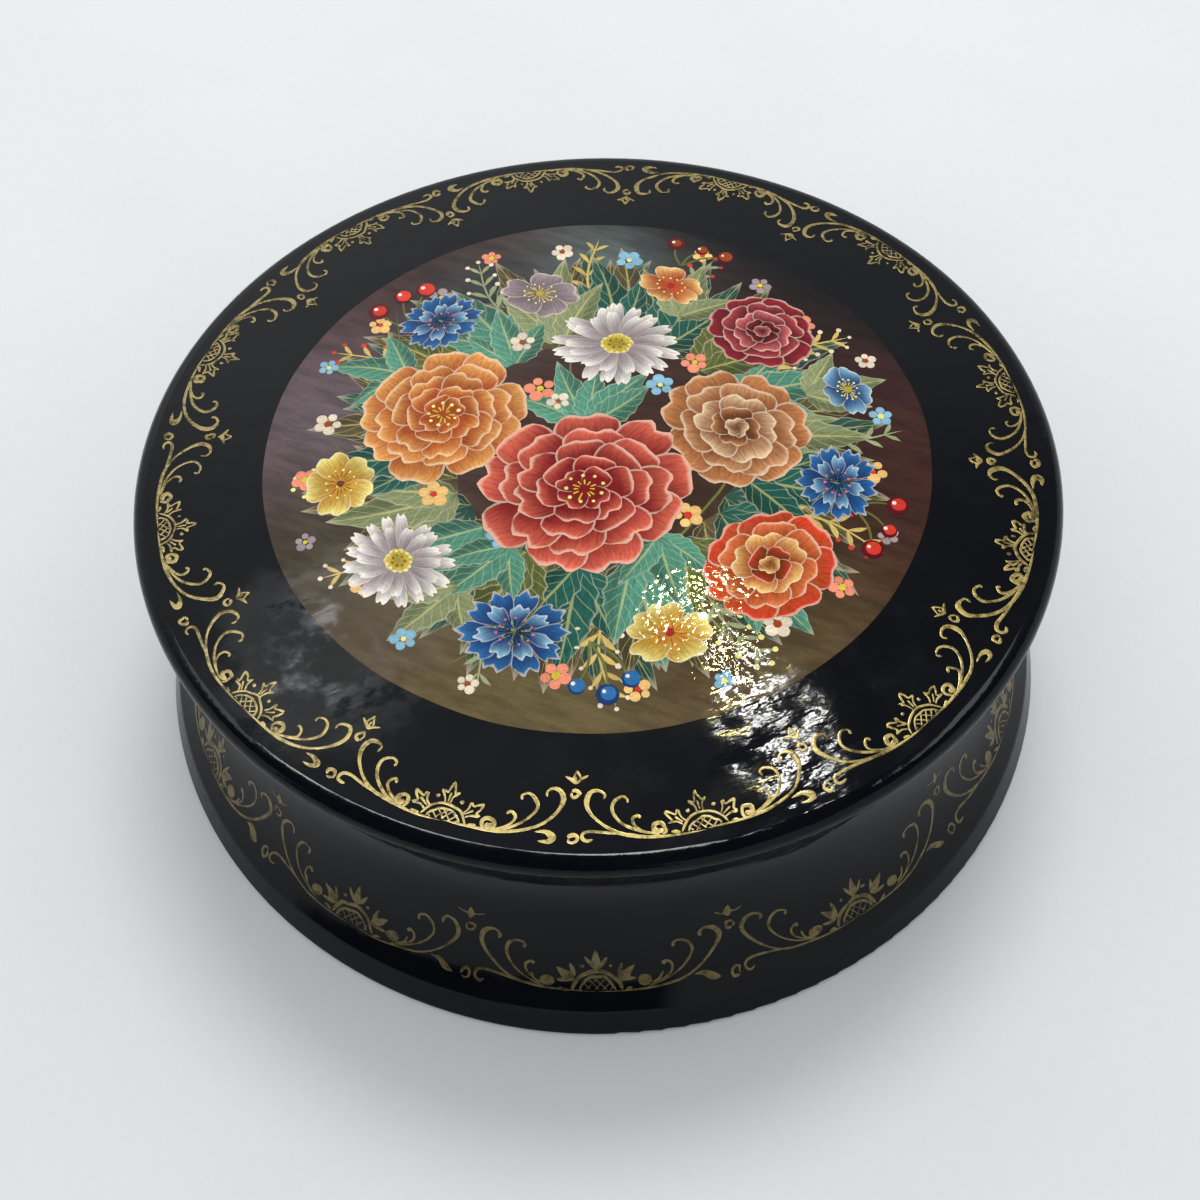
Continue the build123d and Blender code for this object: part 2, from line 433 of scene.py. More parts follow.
def border(name, place, suns, circle_r, scale, line_width, full, body):
    """A ring of ornament units, each drawn once by hand: its points wander and its lines swell a little."""
    grids, angles = [], []
    unit_r = circle_r / mm / scale
    for index, sun in enumerate(suns):
        before = (sun - suns[index - 1]) % 360
        after = (suns[(index + 1) % len(suns)] - sun) % 360
        half_gaps = [radians(gap / 2) * unit_r for gap in (before, after)]
        strokes = sun_strokes(full) + gap_strokes(half_gaps[1], full)
        for side, half_gap in zip((-1, 1), half_gaps):
            strokes += side_strokes(side, half_gap / drawn_half_gap, full)
        hand = rng.uniform(*unit_swell)
        for rows in strokes:
            rows = np.array(rows, float)
            rows[:, :2] += rng.normal(0, point_stray, rows[:, :2].shape) + rng.normal(0, stroke_stray, 2)
            rows[:, 2] *= line_width * hand * rng.uniform(*line_swell, len(rows))
            rows[:, :2] *= scale
            is_dot = len(rows) == 2 and rows[0, 2] > dot_least_width * scale
            grids.append(ribbon(rows, round_ends if is_dot else brush_ends))
            angles.append(radians(sun))
    grids = np.stack(grids)
    angles = np.array(angles)[:, None, None]
    along, up, ridge = grids[..., 0] * mm, grids[..., 1] * mm, grids[..., 2]
    points = place(angles, along, up, gold_lift + gold_ridge * ridge)
    return grid_piece(name, [(points, None, None)], body)


def grid_piece(name, parts, body):
    """One mesh from parts, each (points, colors, brush) with points as (grids, rows, columns, 3).

    Faces turn row by column, and points that meet, as at a stroke's ends, are made one. Colours go to the
    attribute paint, and brush, which runs from foot to tip and from side to side of a stroke, to the UV map
    of that name.
    """
    faces, start = [], 0
    for points, _, _ in parts:
        grids, rows, columns = points.shape[:3]
        index = start + np.arange(grids * rows * columns).reshape(grids, rows, columns)
        corners = (index[:, :-1, :-1], index[:, 1:, :-1], index[:, 1:, 1:], index[:, :-1, 1:])
        faces.append(np.stack(corners, -1).reshape(-1, 4))
        start += index.size
    faces = np.concatenate(faces)
    points, colors, brush = (
        None if part[0] is None else np.concatenate([grid.reshape(-1, grid.shape[-1]) for grid in part])
        for part in zip(*parts))
    mesh = bpy.data.meshes.new(name)
    mesh.from_pydata(points, [], faces)
    if colors is not None:
        opaque = np.hstack([colors, np.ones((len(colors), 1))])
        mesh.color_attributes.new("paint", "FLOAT_COLOR", "POINT").data.foreach_set("color", opaque.ravel())
        mesh.uv_layers.new(name="brush").uv.foreach_set("vector", brush[faces.ravel()].ravel())
    welded = bmesh.new()
    welded.from_mesh(mesh)
    bmesh.ops.remove_doubles(welded, verts=welded.verts, dist=weld_reach)
    welded.to_mesh(mesh)
    welded.free()
    mesh.shade_smooth()
    piece = bpy.data.objects.new(name, mesh)
    bpy.context.scene.collection.objects.link(piece)
    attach(piece, body)
    return piece


# The painting in the lid's middle, a folk bouquet. Places and sizes are in millimetres from the lid's centre
painting_r = 53.9
coat_lift = 0.006
brush_rng = np.random.default_rng(7)
paint = {"petals": [], "leaves": [], "lines": []}
petal_rows, petal_columns = 7, 9
leaf_rows, leaf_columns = 13, 5
line_rows = 10
line_ends, sprig_ends = 6.0, 4.0

# Each blossom's rings of petals from the outside in: how many, and their start, length and width in its sizes
peony_rings = ((9, 0.4, 0.6, 0.6), (8, 0.26, 0.54, 0.54), (7, 0.14, 0.48, 0.48), (6, 0.05, 0.4, 0.4),
               (4, 0, 0.28, 0.3))
rose_rings = ((7, 0.36, 0.64, 0.8), (6, 0.2, 0.58, 0.72), (5, 0.06, 0.5, 0.6), (4, 0.0, 0.34, 0.4),
              (3, -0.04, 0.2, 0.26))
daisy_rings = ((17, 0.2, 0.8, 0.24), (13, 0.16, 0.62, 0.2), (6, -0.05, 0.3, 0.3))
trumpet_rings = ((10, 0.25, 0.75, 0.42), (7, 0.12, 0.56, 0.3))
briar_ring = (5, 0.1, 0.9, 0.86)

# Forms of petals: how much they widen towards the tip, and how deep the tip is frilled and notched
round_form, briar_form = (0.25, 0.04, 0.1), (0.35, 0.03, 0.12)
daisy_forms = ((0.3, 0.0, 0.12), (0.3, 0.0, 0.1), (0.2, 0.05, 0.0))
trumpet_forms = ((0.75, 0.13, 0.0), (0.75, 0.12, 0.0))


def tint(red, green, blue):
    """A paint as a colour chart writes it, 0 to 255 as it looks, made into the shader's own measure."""
    share = np.array([red, green, blue]) / 255
    return np.where(share <= 0.04045, share / 12.92, ((share + 0.055) / 1.055) ** 2.4)


black = tint(14, 14, 18)
cinnabar, scarlet, blush = tint(128, 16, 22), tint(222, 62, 44), tint(246, 150, 118)
wine, crimson, rose_pink = tint(96, 18, 28), tint(160, 36, 48), tint(226, 116, 118)
rust, orange, apricot = tint(164, 70, 22), tint(230, 140, 44), tint(250, 202, 124)
umber, tan, sand = tint(140, 78, 42), tint(208, 140, 84), tint(240, 204, 158)
lilac, cream, white = tint(168, 150, 154), tint(240, 222, 196), tint(250, 246, 236)
ochre, yellow, lemon = tint(190, 138, 40), tint(228, 204, 64), tint(246, 236, 140)
navy, blue, sky = tint(22, 58, 110), tint(46, 112, 170), tint(142, 192, 216)
pine, teal, jade = tint(12, 44, 40), tint(36, 104, 92), tint(98, 168, 142)
moss, olive, sage = tint(44, 58, 30), tint(104, 112, 58), tint(158, 168, 122)
gold_line = tint(214, 184, 104)


def on_painting(flat, coat):
    """Points of the painting: places on the lid's plane, raised to the crown and by the coats below."""
    x, y = flat[..., 0] * mm, flat[..., 1] * mm
    return np.stack([x, y, crown(np.hypot(x, y)) + coat * coat_lift * mm], -1)


def lay(kind, flat, coat, share, dark, light):
    """Keeps grids of paint for a piece: colour runs from dark to light by a share, uneven by grid."""
    grids, rows, columns = flat.shape[:3]
    share = np.clip(np.broadcast_to(share, flat.shape[:3]), 0, 1)[..., None]
    colors = (dark + (light - dark) * share) * brush_rng.uniform(0.86, 1.12, (grids, 1, 1, 1))
    u, v = np.meshgrid(np.linspace(0, 1, rows), np.linspace(-1, 1, columns), indexing="ij")
    brush = np.broadcast_to(np.stack([u, v], -1), (grids, rows, columns, 2))
    paint[kind].append((on_painting(flat, np.broadcast_to(coat, flat.shape[:3])), colors, brush))


def leaned(flat, lean, bearing):
    """A flower seen from one side: narrowed by a share along a bearing from up."""
    way = toward(bearing)
    return flat - lean * (flat @ way)[..., None] * way


def petals(centre, size, ring, coat, dark, light, lean, bearing, form=round_form, shade=0.0):
    """A ring of petals, each a square grid led to a disc by x = v sqrt(1 - t^2 / 2), y = t sqrt(1 - v^2 / 2).

    Here t = 2 u - 1. The disc is stretched to the petal's width and length and widened towards its tip, which
    a cosine frills and a bell curve notches. One side lies half a coat higher, to overlap the next petal.
    """
    count, (start, length, width) = ring[0], size * np.array(ring[1:])
    taper, frill, notch = form
    u = np.linspace(0, 1, petal_rows)[:, None]
    v = np.linspace(-1, 1, petal_columns)
    t = 2 * u - 1
    x, y = v * np.sqrt(1 - t**2 / 2), t * np.sqrt(1 - v**2 / 2)
    turn = 2 * pi * (np.arange(count) + brush_rng.uniform()) / count + brush_rng.normal(0, 0.4 / count, count)
    turn = turn[:, None, None]
    phase, bend = brush_rng.uniform(0, 2 * pi, turn.shape), brush_rng.normal(0, 0.08, turn.shape)
    grow, wide = brush_rng.uniform(0.92, 1.08, turn.shape), brush_rng.uniform(0.9, 1.1, turn.shape)
    tip = np.clip(y, 0, 1) ** 2
    edge = frill * np.cos(8 * x + phase) - notch * np.exp(-((x / 0.22) ** 2))
    out = start + grow * length * ((y + 1) / 2 + tip * edge)
    side = width / 2 * wide * x * (1 + taper * y) + bend * length * ((y + 1) / 2) ** 2
    flat = np.stack([out * np.sin(turn) - side * np.cos(turn), out * np.cos(turn) + side * np.sin(turn)], -1)
    share = 1.1 * ((y + 1) / 2) ** 3.2 + 0.3 * x * (y + 1) / 2 + 0.04 - shade
    lay("petals", leaned(flat, lean, bearing) + centre, coat + 0.25 * (v + 1), share, dark, light)


def leaves(foot, bearings, lengths, widths, coat, dark, light, teeth=0.08):
    """Leaves from one foot: half a width of sin(pi u^0.7) with teeth, along a line bent as a parabola."""
    bearings = np.asarray(bearings, float)[:, None, None]
    lengths, widths = (np.broadcast_to(x, bearings.shape[0])[:, None, None] for x in (lengths, widths))
    u = np.linspace(0, 1, leaf_rows)[:, None]
    v = np.linspace(-1, 1, leaf_columns)
    bend = brush_rng.normal(0, 0.16, bearings.shape)
    coat = coat + 0.12 * np.arange(len(bearings))[:, None, None] + 0.05 * v
    toothed = 1 + teeth * np.where(np.arange(leaf_rows) % 2, 1, -1)[:, None]
    out = lengths * u + 0 * v
    side = bend * lengths * u**2 + widths / 2 * v * np.sin(pi * u**0.7) * toothed
    flat = np.stack([out * np.sin(bearings) - side * np.cos(bearings),
                     out * np.cos(bearings) + side * np.sin(bearings)], -1) + foot
    share = 0.25 + 0.5 * (v > -0.1) * (1 - 0.5 * u) + 0.3 * u * np.abs(v)
    lay("leaves", flat, coat, share, dark, light)


def lines(rows, coat, color, ends=line_ends):
    """Fine strokes of one colour, each smoothed through rows of (x, y, width)."""
    grids = np.stack([ribbon(one, ends, line_rows) for one in rows])
    lay("lines", grids[..., :2], coat + 0.3 * grids[..., 2], 0.5 + 0.5 * grids[..., 2], color * 0.8, color)


def rays(centre, count, start, length, width, coat, color, scatter, lean, bearing):
    """Short fine strokes that spread from a centre, such as stamens."""
    turn = 2 * pi * np.arange(count) / count + brush_rng.normal(0, 0.9 / count, count)
    first = start * brush_rng.uniform(1 - scatter, 1 + scatter, count)
    last = first + length * brush_rng.uniform(1 - 2 * scatter, 1 + scatter, count)
    way = toward(turn)
    ends = np.stack([first[:, None] * way, last[:, None] * way], 1)
    ends = leaned(ends, lean, bearing) + centre
    widths = np.broadcast_to(np.array([[0.6 * width], [width]]), (count, 2, 1))
    lines(np.concatenate([ends, widths], -1), coat, color)


def dots(places, radius, coat, color):
    """Round dots, each a stroke as wide as it is long."""
    discs = [dot_rows(place, radius * brush_rng.uniform(0.8, 1.2)) for place in places]
    lines(discs, coat, color, round_ends)


def ring_of(centre, count, radius, lean=0.0, bearing=0.0):
    """Places round a centre, a little uneven."""
    turn = 2 * pi * (np.arange(count) + brush_rng.uniform()) / count
    reach = radius * brush_rng.uniform(0.92, 1.08, count)
    return leaned(reach[:, None] * toward(turn), lean, bearing) + centre


def peony(centre, size, coat, deep, main, pale, lean, bearing):
    """A full blossom: rings of round petals that darken inwards, the last one small, and stamens."""
    light = main + 0.45 * (pale - main)
    for index, ring in enumerate(peony_rings):
        petals(centre, size, ring, coat + index, deep, light, lean, bearing, shade=0.09 * index)
    rays(centre, 11, 0.05 * size, 0.1 * size, 0.3, coat + 5, yellow, 0.3, lean, bearing)
    dots(ring_of(centre, 9, 0.17 * size, lean, bearing), 0.32, coat + 5.5, lemon)


def rose(centre, size, coat, deep, main, pale, lean, bearing):
    """An opening blossom: two open rings behind a cup, whose dark mouth holds a few small petals."""
    tones = ((deep, main, 0.0), (deep, main + 0.3 * (pale - main), 0.08), (deep, pale, 0.05),
             (0.5 * deep, main, 0.2), (0.5 * deep, pale, 0.0))
    for index, (ring, (dark, light, shade)) in enumerate(zip(rose_rings, tones)):
        petals(centre, size, ring, coat + index, dark, light, lean, bearing, shade=shade)


def daisy(centre, size, coat, deep, main, eye, lean, bearing):
    """Two rings of narrow petals round a domed eye that is stippled with light and dark."""
    tones = ((deep, main), (deep, main), (eye * 0.45, eye))
    for index, (ring, form, (dark, light)) in enumerate(zip(daisy_rings, daisy_forms, tones)):
        petals(centre, size, ring, coat + index, dark, light, lean, bearing, form)
    dots(ring_of(centre, 14, 0.22 * size, lean, bearing), 0.26, coat + 3, lemon)
    dots(ring_of(centre, 7, 0.11 * size, lean, bearing), 0.24, coat + 3, rust)


def cornflower(centre, size, coat, deep, main, pale, lean, bearing):
    """Trumpets that widen to toothed mouths, round a tuft of dark strokes with pale tips."""
    for index, (ring, form, light) in enumerate(zip(trumpet_rings, trumpet_forms, (main, pale))):
        petals(centre, size, ring, coat + index, deep, light, lean, bearing, form)
    rays(centre, 15, 0.06 * size, 0.26 * size, 0.34, coat + 2, deep * 0.6, 0.25, lean, bearing)
    dots(ring_of(centre, 11, 0.32 * size, lean, bearing), 0.22, coat + 2.5, rose_pink)


def briar(centre, size, coat, deep, main, eye, lean, bearing):
    """A simple flower of five round petals with stamens round a small eye."""
    petals(centre, size, briar_ring, coat, deep, main, lean, bearing, briar_form)
    rays(centre, 15, 0.14 * size, 0.26 * size, 0.22, coat + 1, eye, 0.25, lean, bearing)
    dots(ring_of(centre, 12, 0.42 * size, lean, bearing), 0.2, coat + 1.3, lemon)
    dots([centre], 0.11 * size, coat + 1.5, eye * 0.6)


def stalk(start, end, bow):
    """Rows of a stalk from start to end, bowed sideways by a share of its length."""
    start, end = np.asarray(start, float), np.asarray(end, float)
    way = end - start
    middle = (start + end) / 2 + bow * np.array([-way[1], way[0]])
    return [(*start, 0.5), (*middle, 0.4), (*end, 0.25)]


def sprig(start, end, bow, pairs, leaf_length, coat, color, tip):
    """A bowed stalk with pairs of leaves that shorten towards its end, and dots on them if a tip is given."""
    rows = stalk(start, end, bow)
    line = smooth(rows, 3 * pairs + 4)
    strokes, ends = [], [line[-1, :2]]
    for index in range(3, len(line) - 1, 3):
        foot = line[index, :2]
        way = line[index + 1, :2] - line[index - 1, :2]
        way /= np.linalg.norm(way)
        reach = leaf_length * (1.15 - 0.6 * index / len(line))
        for side in (-1, 1):
            out = reach * (way * 0.75 + side * 0.75 * np.array([-way[1], way[0]]))
            belly = foot + 0.5 * out + 0.08 * reach * way
            strokes.append([(*foot, 0.12), (*belly, 0.26 * reach), (*(foot + out), 0.1)])
            ends.append(foot + out)
    lines([rows], coat, color, brush_ends)
    lines(strokes, coat, color, sprig_ends)
    if tip is not None:
        dots(ends, 0.42, coat + 0.5, tip)


def berries(start, places, radius, coat, dark, main):
    """Berries on threads from one point, each with a light spot."""
    places = np.asarray(places, float)
    lines([stalk(start, place, 0.1) for place in places], coat, olive)
    dots(places, radius, coat + 0.6, dark)
    dots(places + (0.1 * radius, 0.14 * radius), 0.74 * radius, coat + 1.1, main)
    dots(places + (-0.3 * radius, 0.36 * radius), 0.2 * radius, coat + 1.6, white)


def posy(centre, radius, coat, color, eye):
    """A tiny blossom: five dots round a sixth."""
    dots(ring_of(centre, 5, radius), 0.6 * radius, coat, color)
    dots([centre], 0.4 * radius, coat + 0.4, eye)


# The ground's clouds from the first laid to the last: place and size in millimetres, and colour
earth = tint(66, 38, 32)
ground_clouds = (
    ((-44, 8), 22, tint(104, 92, 98)), ((-40, -22), 18, tint(70, 66, 50)), ((4, 42), 15, tint(98, 118, 116)),
    ((-18, 36), 14, tint(52, 58, 60)), ((-10, -48), 26, tint(112, 100, 64)),
    ((26, -40), 20, tint(98, 84, 54)), ((40, 8), 24, tint(62, 36, 34)),
    ((34, 34), 20, tint(44, 28, 26)), ((10, -10), 30, tint(58, 40, 30)))


def painted_ground():
    """The disc under the bouquet, on a polar grid: bell curves of earth colours, lost in the black above."""
    rings, spokes = 50, 361
    turn = np.linspace(0, 2 * pi, spokes)[None, None, :]
    share = (np.linspace(0, 1, rings) ** 0.9)[None, :, None]
    hand = 1 + 0.0012 * np.sin(7 * turn + 1) + 0.0008 * np.sin(16 * turn)
    reach = painting_r * share * hand
    flat = np.stack([reach * np.cos(turn), reach * np.sin(turn)], -1)
    color = np.broadcast_to(earth, (*flat.shape[:3], 3)).copy()
    for place, size, cloud in ground_clouds:
        close = np.exp(-(((flat - place) ** 2).sum(-1) / size**2))[..., None] * 0.85
        color += (cloud - color) * close
    away = share * hand * np.cos(turn - radians(52))
    lost = np.clip((away - 0.66) / 0.32, 0, 1)[..., None] ** 1.5
    color += (black - color) * lost
    part = (on_painting(flat, 1.0), color, flat / painting_r)
    return grid_piece("lid_painting_ground", [part], "lid")


def grasses():
    """Bowed stalks from behind the middle, and leafy sprigs that reach the painting's edge all round."""
    for start, end, bow in (
            ((-8, -30), (-34, 34), 0.12), ((4, -30), (30, 36), -0.12), ((0, -30), (-2, 46), 0.04),
            ((-12, -24), (-46, 8), 0.1), ((10, -24), (46, 4), -0.1), ((0, -20), (-24, -42), 0.1),
            ((4, -20), (26, -42), -0.1)):
        lines([stalk(start, end, bow)], 3, olive, brush_ends)
    for bearing, reach, color, tip in (
            (-158, 50, sage, None), (-120, 49.5, gold_line, cream), (-98, 49, sage, lemon),
            (-62, 50, gold_line, scarlet), (-24, 49, sage, cream), (2, 50, gold_line, None),
            (27, 49, sage, scarlet), (62, 49.5, gold_line, cream), (88, 50, sage, None),
            (118, 49, gold_line, scarlet), (150, 49.5, sage, lemon), (178, 50, gold_line, cream)):
        way = toward(radians(bearing))
        sprig(30 * way, reach * way, brush_rng.choice([-0.1, 0.1]), 5, 4.2, 3.5, color, tip)


def foliage():
    """Dim leaves all round, brighter ones over them, fans under the blossoms, and one in the middle."""
    dim_paints = ((tint(22, 42, 38), tint(50, 92, 80)), (tint(50, 40, 30), tint(98, 88, 56)))
    for index, bearing in enumerate(np.arange(-180, 180, 15.0)):
        fan = np.radians(bearing + np.array([-30, -8, 16, 38]))
        leaves(23 * toward(radians(bearing)), fan, (22, 25, 23, 19), (7, 8, 7.5, 6.5),
               2 + 0.5 * (index % 3), *dim_paints[index % 2])
    greens = ((pine, teal), (moss, olive), (pine, jade), (moss, sage), (pine, teal))
    for index, bearing in enumerate(np.arange(-172, 188, 20.0)):
        fan = np.radians(bearing + np.array([-26, 0, 26]))
        leaves(24 * toward(radians(bearing)), fan, (16, 21, 16), (6.5, 8, 6.5),
               4 + 0.4 * (index % 3), *greens[index % len(greens)])
    for foot, bearing, dark, light in (
            ((-13, 19), -20, pine, jade), ((15, 29), 20, moss, sage), ((-14, -20), -140, pine, jade),
            ((9, -19), 165, pine, jade), ((35, 10), 70, moss, sage), ((-31, 17), -65, pine, jade),
            ((23, -27), 140, pine, jade), ((-22, -27), -145, moss, sage)):
        leaves(foot, np.radians(bearing + np.array([-40, 4, 44])), (11, 14, 11), (5, 6, 5), 5.8, dark, light)
    leaves((-1, 5), np.radians((-58, -28, 4, 34, 62)), (14, 15, 12, 15, 13), 6.0, 6.2, pine, jade)


def posies_and_berries():
    """Tiny blossoms in a ring near the painting's edge and between the great ones, and bunches of berries."""
    posy_paints = ((blush, yellow), (cream, rust), (sky, lemon), (apricot, scarlet), (lilac, yellow))
    for index, bearing in enumerate(np.radians(np.arange(-171, 180, 15.0))):
        reach = (44.5, 49, 47)[index % 3]
        posy(reach * toward(bearing), (1.5, 1.1, 1.3)[index % 3], 6.3, *posy_paints[index % len(posy_paints)])
    for place, radius, color, eye in (
            ((-9, 13), 1.7, blush, yellow), ((-6, 10), 1.2, cream, rust), ((11, 13), 1.5, sky, lemon),
            ((-15, -18), 1.6, sky, lemon), ((14, -15), 1.5, apricot, scarlet), ((-12, 24), 1.4, cream, rust),
            ((17, 18), 1.5, blush, yellow), ((-26, -9), 1.6, apricot, scarlet)):
        posy(place, radius, 6.9, color, eye)
    berries((-30, 28), [(-37, 33), (-33, 36.5), (-29, 38)], 1.7, 6.5, wine, scarlet)
    berries((40, -14), [(45, -19), (42, -22.5), (47, -14)], 1.6, 6.5, wine, scarlet)
    berries((-2, -38), [(-4, -46), (0.5, -47.5), (4, -45)], 1.6, 6.5, navy, blue)
    berries((16, 42), [(20, 46), (24, 44), (15.5, 48)], 1.4, 6.5, wine, rust)


def blossoms():
    """The flowers, small outer ones first: place, size, coat, colours, lean and bearing."""
    briar((-9, 36), 7.0, 7, lilac * 0.5, lilac, yellow, 0.2, 0.3)
    briar((14, 37), 6.0, 7, rust, apricot, scarlet, 0.25, 0.6)
    briar((-41, -6), 7.0, 7, ochre, lemon, rust, 0.2, -1.4)
    briar((10, -37), 6.8, 7, ochre, lemon, scarlet, 0.2, 3.0)
    briar((42, 11), 5.6, 7, navy, sky, yellow, 0.3, 1.3)
    cornflower((-13, -36), 8.4, 7.5, navy, blue, sky, 0.15, 3.5)
    cornflower((38, -9), 7.6, 7.5, navy, blue, sky, 0.2, 1.7)
    cornflower((-26, 30), 7.2, 7.5, navy, blue, sky, 0.2, -0.7)
    daisy((-31, -22), 9.6, 9, lilac * 0.7, white, yellow, 0.15, -2.2)
    daisy((4, 23), 11.0, 9, lilac * 0.7, white, yellow, 0.12, 0.2)
    rose((29, 25), 9.6, 9, wine, crimson, rose_pink, 0.12, 0.8)
    rose((26, -25), 11.0, 9, rust, scarlet, apricot, 0.12, 2.3)
    peony((-25, 8), 15.0, 12, rust, orange, apricot, 0.06, -1.2)
    rose((23, 3), 13.2, 12, umber, tan, sand, 0.08, 1.2)
    peony((-2, -9), 17.5, 14, cinnabar, scarlet, blush, 0.05, 2.6)


def tempera(name, edge=0.0, veins=0.0):
    """Egg tempera under varnish: the paint attribute, streaked along the stroke, lit at its edge or veined.

    The streaks are noise on the brush's map, drawn out from foot to tip, and differ from place to place.
    """
    material, tree, shader, place = new_material(name)
    color = node(tree, "ShaderNodeAttribute", attribute_name="paint").outputs["Color"]
    uv = node(tree, "ShaderNodeUVMap", uv_map="brush").outputs[0]
    u, v, _ = node(tree, "ShaderNodeSeparateXYZ", {0: uv}).outputs
    x, y, _ = node(tree, "ShaderNodeSeparateXYZ", {0: place}).outputs
    along, across = math(tree, "MULTIPLY", u, 1.3), math(tree, "MULTIPLY", v, 6.0)
    spot = math(tree, "MULTIPLY", math(tree, "MULTIPLY_ADD", y, 1.7, x), 1 / streak_patch)
    strand = node(tree, "ShaderNodeCombineXYZ", {0: along, 1: across, 2: spot}).outputs[0]
    streak = ramp(tree, noise(tree, strand, 0.5, 3.0, 0.6), 0.3, 0.7, 0.74, 1.2)
    grain = ramp(tree, noise(tree, place, pigment_grain, 3.0, 0.6), 0.3, 0.7, 0.92, 1.06)
    color = shaded(tree, color, math(tree, "MULTIPLY", streak, grain))
    side = math(tree, "ABSOLUTE", v)
    if edge:
        rim = ramp(tree, math(tree, "MAXIMUM", side, u), 0.88, 0.97, 0.0, edge)
        color = blend_colors(tree, rim, color, (*cream, 1))
    if veins:
        slant = math(tree, "FRACT", math(tree, "MULTIPLY_ADD", side, -1.6, math(tree, "MULTIPLY", u, 8.0)))
        vein = math(tree, "MAXIMUM", ramp(tree, side, 0.1, 0.03), ramp(tree, slant, 0.14, 0.04, 0.0, 0.7))
        color = blend_colors(tree, math(tree, "MULTIPLY", vein, veins), color, (*lemon, 1))
    join(tree, color, shader.inputs["Base Color"])
    varnish(tree, place, shader, paint_ripple, paint_relief, paint_grit)
    return material


def table_top():
    """The pale table: a matte board with a faint fibre, and a painted shade that makes it a little darker
    towards the viewer.
    """
    material, tree, shader, place = new_material("pale_table")
    y = node(tree, "ShaderNodeSeparateXYZ", {0: place}).outputs[1]
    # Painted shade: the board's colour darkens a little towards the viewer
    tone = blend_colors(tree, ramp(tree, y, -0.26, 0.2), *table_painted_shade_tones)
    fibre = ramp(tree, noise(tree, place, fibre_cell, 4.0, 0.6, (1, 2.86, 1)), 0.3, 0.7, 0.985, 1.0)
    blotch = ramp(tree, noise(tree, place, blotch_cell), 0.3, 0.7, -0.012, 0.012)
    join(tree, shaded(tree, tone, math(tree, "ADD", fibre, blotch)), shader.inputs["Base Color"])
    shader.inputs["Roughness"].default_value = 0.75
    shader.inputs["Specular IOR Level"].default_value = 0.2
    half = table_width / 2
    corners = [(-half, -half, 0), (half, -half, 0), (half, half, 0), (-half, half, 0)]
    mesh = bpy.data.meshes.new("table_top")
    mesh.from_pydata(corners, [], [(0, 1, 2, 3)])
    mesh.materials.append(material)
    table = bpy.data.objects.new("table_top", mesh)
    bpy.context.scene.collection.objects.link(table)


# The surround: its colour and strength, the sines of the elevations where its band ends and its room starts,
# the cosines of the angles to the shade's bearing where the shade starts and is full, and their tones
surround_color, plain_light = (0.97, 0.985, 1, 1), 0.78
band_end, room_start = 0.27, 0.42
shade_bearing, shade_start, shade_full = radians(-117), 0.74, 0.81
band_tone, shade_tone = 0.84, 0.03
room_tone, far_tone = 0.03, 0.5
warm_white, cool_white, amber = (1, 0.99, 0.97), (0.95, 0.98, 1), (1, 0.9, 0.36)


def studio():
    """Plain soft light: an even surround, seen in the gloss as a pale band with a dim room above it.

    The band is dark on one side, before the box. The room is lighter behind the box, most on the left.
    """
    world = bpy.data.worlds.new("studio")
    bpy.context.scene.world = world
    world.use_nodes = True
    tree = world.node_tree
    tree.nodes.clear()
    way = node(tree, "ShaderNodeTexCoord").outputs["Generated"]
    x, y, z = node(tree, "ShaderNodeSeparateXYZ", {0: way}).outputs
    behind = ramp(tree, y, 0.0, 0.45)
    left = ramp(tree, x, 0.25, -0.25, 0.25, 1.0)
    room = math(tree, "MULTIPLY_ADD", behind, left, ramp(tree, y, 0.58, 0.72, room_tone, far_tone))
    shade = math(tree, "MULTIPLY_ADD", x, cos(shade_bearing), math(tree, "MULTIPLY", y, sin(shade_bearing)))
    band = ramp(tree, shade, shade_start, shade_full, band_tone, shade_tone)
    seen = blend(tree, ramp(tree, z, band_end, room_start), band, room)
    kinds = node(tree, "ShaderNodeLightPath").outputs
    looked_at = math(tree, "MAXIMUM", kinds["Is Camera Ray"],
                     math(tree, "MAXIMUM", kinds["Is Glossy Ray"], kinds["Is Transmission Ray"]))
    inputs = {"Color": surround_color, "Strength": blend(tree, looked_at, plain_light, seen)}
    background = node(tree, "ShaderNodeBackground", inputs)
    node(tree, "ShaderNodeOutputWorld", {"Surface": background.outputs[0]})


def lamp(name, start, end, width, radiance, color=(1, 1, 1), soft=False):
    """An oval lamp between two places, facing the lid, with its surface's brightness given.

    A soft one lights the colours, and any other is seen in the gloss.
    """
    start, end = Vector(start), Vector(end)
    middle, along = (start + end) / 2, (end - start).normalized()
    facing = (middle - Vector((0, 0, crown_z))).normalized()
    facing = (facing - facing.dot(along) * along).normalized()
    light = bpy.data.lights.new(name, "AREA")
    light.shape = "ELLIPSE"
    light.size, light.size_y = (end - start).length, width
    light.color = color
    light.energy = radiance * pi * light.size * width * pi / 4
    holder = bpy.data.objects.new(name, light)
    bpy.context.scene.collection.objects.link(holder)
    axes = Matrix((along, facing.cross(along), facing)).transposed()
    holder.matrix_world = Matrix.Translation(middle) @ axes.to_4x4()
    holder.visible_diffuse, holder.visible_glossy = soft, not soft


def mirrored_at(x, y, distance=1.1):
    """The place that the crown mirrors into the camera at a point of the lid, given in millimetres."""
    flat = Vector((x, y)) * mm
    height = sqrt(crown_arc_r**2 - flat.length_squared)
    start = Vector((*flat, crown_z - crown_arc_r + height))
    normal = Vector((*flat, height)).normalized()
    sight = (bpy.context.scene.camera.location - start).normalized()
    return start + (2 * normal.dot(sight) * normal - sight) * distance


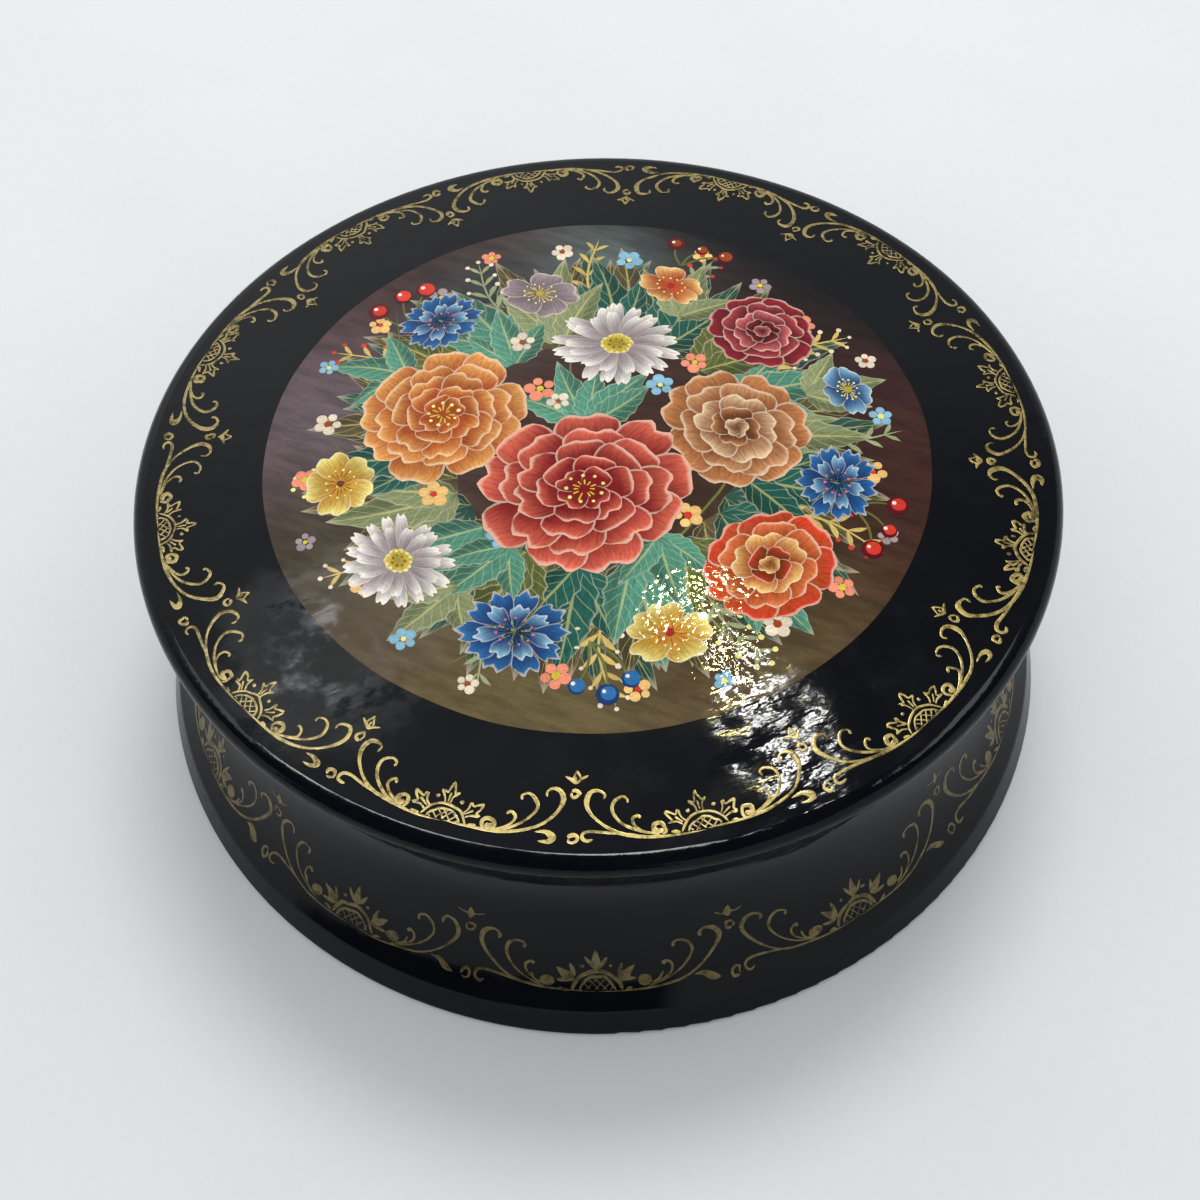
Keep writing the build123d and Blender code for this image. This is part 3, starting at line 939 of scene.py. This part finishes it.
def photo_camera():
    """The camera at the photograph's place, as read off the box's circles."""
    distance, rise, roll = 268.0 * mm, radians(53.88), radians(1.805)
    shift_right, shift_up = -0.16 * mm, -22.7 * mm
    photo_width, focal_pixels, sensor = 1200, 1638.7, 36.0
    edge_below_crown = 3.9 * mm
    back = Vector((0, -cos(rise), sin(rise)))
    right = Vector((1, 0, 0))
    up = Vector((0, sin(rise), cos(rise)))
    aim = Vector((0, 0, crown_z - edge_below_crown)) + right * shift_right + up * shift_up
    place = aim + back * distance
    axes = Matrix((cos(roll) * right - sin(roll) * up, sin(roll) * right + cos(roll) * up, back)).transposed()
    data = bpy.data.cameras.new("photo_camera")
    data.sensor_width = sensor
    data.lens = focal_pixels / photo_width * sensor
    data.clip_start, data.clip_end = 10 * mm, 20.0
    camera = bpy.data.objects.new("photo_camera", data)
    bpy.context.scene.collection.objects.link(camera)
    camera.matrix_world = Matrix.Translation(place) @ axes.to_4x4()
    bpy.context.scene.camera = camera
    bpy.context.view_layer.update()


lacquer = box_lacquer()
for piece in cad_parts.values():
    piece.data.materials.clear()
    piece.data.materials.append(lacquer)

lid_border = border("lid_gold_border", on_lid, lid_suns, lid_line_r, 1.0, 1.0, False, "lid")
lid_border.data.materials.append(powdered_gold("lid_gold", 1.0))
wall_border = border("wall_gold_border", on_wall, wall_suns, wall_line_r, 1.15, 0.76, True, "box")
wall_border.data.materials.append(powdered_gold("wall_gold", 0.5))

painted_ground().data.materials.append(tempera("ground_tempera"))
for layer in (grasses, foliage, posies_and_berries, blossoms):
    layer()
for kind, material in (("leaves", tempera("leaf_tempera", edge=0.3, veins=0.35)),
                       ("petals", tempera("petal_tempera", edge=0.5)), ("lines", tempera("line_tempera"))):
    grid_piece(f"lid_painting_{kind}", paint[kind], "lid").data.materials.append(material)

table_top()
photo_camera()
studio()
# The lamps, with their ends and widths in metres: a soft one, and those that are seen in the gloss
lamp("softbox", (-0.17, 0.45, 1.1), (0.33, 0.45, 1.1), 0.35, 10.0, soft=True)
lamp("ceiling_tube", (-0.56, 0.19, 0.98), (0.18, -0.045, 0.98), 0.09, 36.0)
lamp("left_panel", (-0.47, 0.465, 0.82), (-0.655, 0.065, 0.84), 0.15, 3.8)
lamp("right_panel", (0.5, 0.4, 0.84), (0.64, -0.16, 0.85), 0.15, 5.0)
lamp("window", mirrored_at(20, -42), mirrored_at(26, -62), 0.028, 150.0, warm_white)
lamp("warm_lamp", mirrored_at(11.5, -33), mirrored_at(17, -35.5), 0.05, 400.0, amber)
lamp("soft_window", mirrored_at(-45, -32), mirrored_at(-36, -41), 0.16, 14.0, cool_white)

bpy.context.scene.view_settings.view_transform = "Standard"
